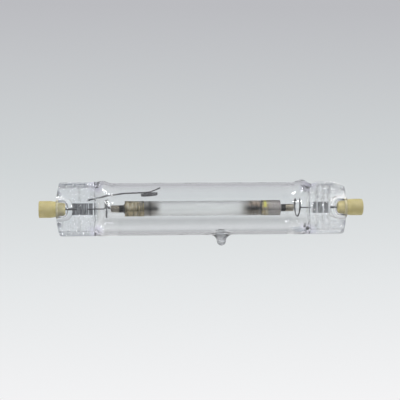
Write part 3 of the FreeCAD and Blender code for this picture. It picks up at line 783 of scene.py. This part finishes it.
MATERIALS = {
    "quartz": quartz(),
    "cap_ceramic": cap_ceramic(),
    "contact_metal": drawn_metal("nickel contact", (0.45, 0.44, 0.41), (0.70, 0.69, 0.65), 0.3),
    "cap_cement": fired_ceramic("cement", (0.50, 0.45, 0.28), (0.60, 0.54, 0.35), 0.8),
    "lead_molybdenum": drawn_metal("molybdenum wire", (0.03, 0.03, 0.032), (0.12, 0.12, 0.125),
                                   0.38),
    "foil_molybdenum": seal_foil(),
    "niobium": niobium(),
    "alumina": alumina(),
    "frit": fired_ceramic("frit", (0.012, 0.011, 0.010), (0.05, 0.047, 0.043), 0.5),
    "shield_foil": shield_foil(),
    "tungsten": drawn_metal("tungsten", (0.03, 0.03, 0.03), (0.10, 0.10, 0.10), 0.45),
    "braze": drawn_metal("braze", (0.14, 0.13, 0.12), (0.30, 0.29, 0.27), 0.5),
    "getter_steel": drawn_metal("getter steel", (0.015, 0.015, 0.016), (0.12, 0.12, 0.125), 0.3),
    "getter_powder": fired_ceramic("getter powder", (0.015, 0.015, 0.016), (0.05, 0.05, 0.05),
                                   0.9),
    "sodium_amalgam": drawn_metal("sodium amalgam", (0.40, 0.41, 0.42), (0.62, 0.63, 0.65), 0.25),
}

SLOT_OF = {entry["node"]: entry["material_slot"] for entry in frame["record"]["subparts"]}


def finished_copy(node_name):
    """A merged, smooth-shaded copy of a CAD node that stands for it."""
    mesh = frame["nodes"][node_name].data.copy()
    obj = bpy.data.objects.new(node_name + "_finish", mesh)
    bpy.context.scene.collection.objects.link(obj)
    activate(obj)
    bpy.ops.object.mode_set(mode="EDIT")
    bpy.ops.mesh.select_all(action="SELECT")
    bpy.ops.mesh.remove_doubles(threshold=MERGE_DISTANCE)
    if SLOT_OF[node_name] in SEALED_SLOTS:
        bpy.ops.transform.shrink_fatten(value=SEAL_GROWTH)
    bpy.ops.object.mode_set(mode="OBJECT")
    bpy.ops.object.shade_smooth_by_angle(angle=SMOOTH_ANGLE)
    bpy.ops.object.modifier_add(type="WEIGHTED_NORMAL")
    weighted = obj.modifiers[-1]
    weighted.mode = "FACE_AREA"
    weighted.keep_sharp = True
    bpy.ops.object.modifier_apply(modifier=weighted.name)
    mesh.materials.clear()
    mesh.materials.append(MATERIALS[SLOT_OF[node_name]])
    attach(obj, "root")
    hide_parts(node_name)


for node in sorted(frame["nodes"]):
    finished_copy(node)


def seen_by_camera(tree):
    """Masks for what the camera sees in a mirror or through glass, and for all that it sees."""
    path = put(tree, "LightPath").outputs
    through = maths(tree, "MAXIMUM", path["Is Glossy Ray"], path["Is Transmission Ray"])
    through = times(tree, through, maths(tree, "LESS_THAN", path["Diffuse Depth"], 1.0))
    return through, maths(tree, "MAXIMUM", path["Is Camera Ray"], through)


def stage_material():
    """Pale backdrop, darker towards the top as in the photo."""
    material, tree, output, place = new_material("backdrop")
    reach = WALL_FADE / MM
    colour = ramp(tree, share(tree, place["Up"], -reach, reach), WALL_GLOW)
    matt = put(tree, "BsdfPrincipled", {"Base Color": FLOOR_COLOUR, "Roughness": 0.9})
    glow = put(tree, "Emission", {"Color": colour, "Strength": 1.0})
    through, seen = seen_by_camera(tree)
    on_wall = rising(tree, place["Away"], ((WALL_DISTANCE - SWEEP_RADIUS) / MM,
                                           (WALL_DISTANCE - SWEEP_RADIUS / 2) / MM))
    shown = maths(tree, "MAXIMUM", times(tree, seen, on_wall), times(tree, through, FLOOR_GLOW))
    mix = put(tree, "MixShader", {0: shown, 1: matt.outputs[0], 2: glow.outputs[0]})
    tree.links.new(mix.outputs[0], output.inputs["Surface"])
    return material


def select_edges(obj, belongs):
    """Selects only the edges whose two ends belong, and leaves the mesh open for an edit."""
    bpy.ops.object.mode_set(mode="EDIT")
    bpy.ops.mesh.select_mode(type="EDGE")
    bpy.ops.mesh.select_all(action="DESELECT")
    bpy.ops.object.mode_set(mode="OBJECT")
    for edge in obj.data.edges:
        edge.select = all(belongs(obj.data.vertices[index].co) for index in edge.vertices)
    bpy.ops.object.mode_set(mode="EDIT")


def stage():
    """One sheet that is the floor, sweeps up and is the wall behind."""
    floor_z = MIDDLE.z - FLOOR_DROP
    wall_y = MIDDLE.y + WALL_DISTANCE
    bpy.ops.mesh.primitive_plane_add(size=2, location=(MIDDLE.x, 0, floor_z))
    sheet = bpy.context.active_object
    sheet.name = "backdrop"
    for vertex in sheet.data.vertices:
        vertex.co.x = math.copysign(STAGE_HALF_WIDTH, vertex.co.x)
        vertex.co.y = wall_y if vertex.co.y > 0 else -STAGE_FRONT
    activate(sheet)
    bpy.ops.object.transform_apply(location=True, rotation=True, scale=True)
    select_edges(sheet, lambda end: abs(end.y - wall_y) < NEAR)
    bpy.ops.mesh.extrude_edges_move(
        TRANSFORM_OT_translate={"value": (0, 0, STAGE_TOP + FLOOR_DROP)})
    select_edges(sheet, lambda end: abs(end.y - wall_y) < NEAR and abs(end.z - floor_z) < NEAR)
    bpy.ops.mesh.bevel(offset=SWEEP_RADIUS, segments=SWEEP_SEGMENTS, affect="EDGES")
    bpy.ops.object.mode_set(mode="OBJECT")
    bpy.ops.object.shade_smooth()
    sheet.data.materials.append(stage_material())


def softbox(name, offset, size, power, sheen_only):
    """A square area light that faces the lamp, or one that is only mirrored in what shines."""
    light = bpy.data.lights.new(name, "AREA")
    light.shape = "SQUARE"
    light.size = size
    light.energy = power
    obj = bpy.data.objects.new(name, light)
    obj.visible_diffuse = not sheen_only
    obj.visible_transmission = not sheen_only
    bpy.context.scene.collection.objects.link(obj)
    obj.location = MIDDLE + Vector(offset)
    obj.rotation_euler = (MIDDLE - obj.location).to_track_quat("-Z", "Y").to_euler()


def studio_world():
    """An even sky that lights the lamp, and a paler room that is seen in it."""
    world = bpy.data.worlds.new("studio")
    bpy.context.scene.world = world
    world.use_nodes = True
    tree = world.node_tree
    tree.nodes.clear()
    coordinates = put(tree, "TexCoord")
    up = put(tree, "SeparateXYZ", {0: coordinates.outputs["Generated"]}).outputs["Z"]
    sky = ramp(tree, rising(tree, up, SKY_HEIGHTS), SKY)
    room = ramp(tree, rising(tree, up, ROOM_HEIGHTS), ROOM)
    _, seen = seen_by_camera(tree)
    light = put(tree, "Background", {"Color": sky, "Strength": 1.0})
    view = put(tree, "Background", {"Color": room, "Strength": 1.0})
    mix = put(tree, "MixShader", {0: seen, 1: light.outputs[0], 2: view.outputs[0]})
    output = put(tree, "OutputWorld")
    tree.links.new(mix.outputs[0], output.inputs["Surface"])


def camera():
    """The camera that the photo was taken from."""
    data = bpy.data.cameras.new("camera")
    data.lens = CAMERA_LENS
    obj = bpy.data.objects.new("camera", data)
    bpy.context.scene.collection.objects.link(obj)
    obj.location = MIDDLE + CAMERA_OFFSET
    look = (MIDDLE + AIM_OFFSET - obj.location).to_track_quat("-Z", "Y")
    obj.rotation_euler = look.to_euler()
    obj.rotation_euler.rotate_axis("Z", CAMERA_ROLL)
    bpy.context.scene.camera = obj


stage()
studio_world()
for studio_lamp in STUDIO_LAMPS:
    softbox(*studio_lamp)
camera()

bpy.context.scene.view_settings.view_transform = "Standard"
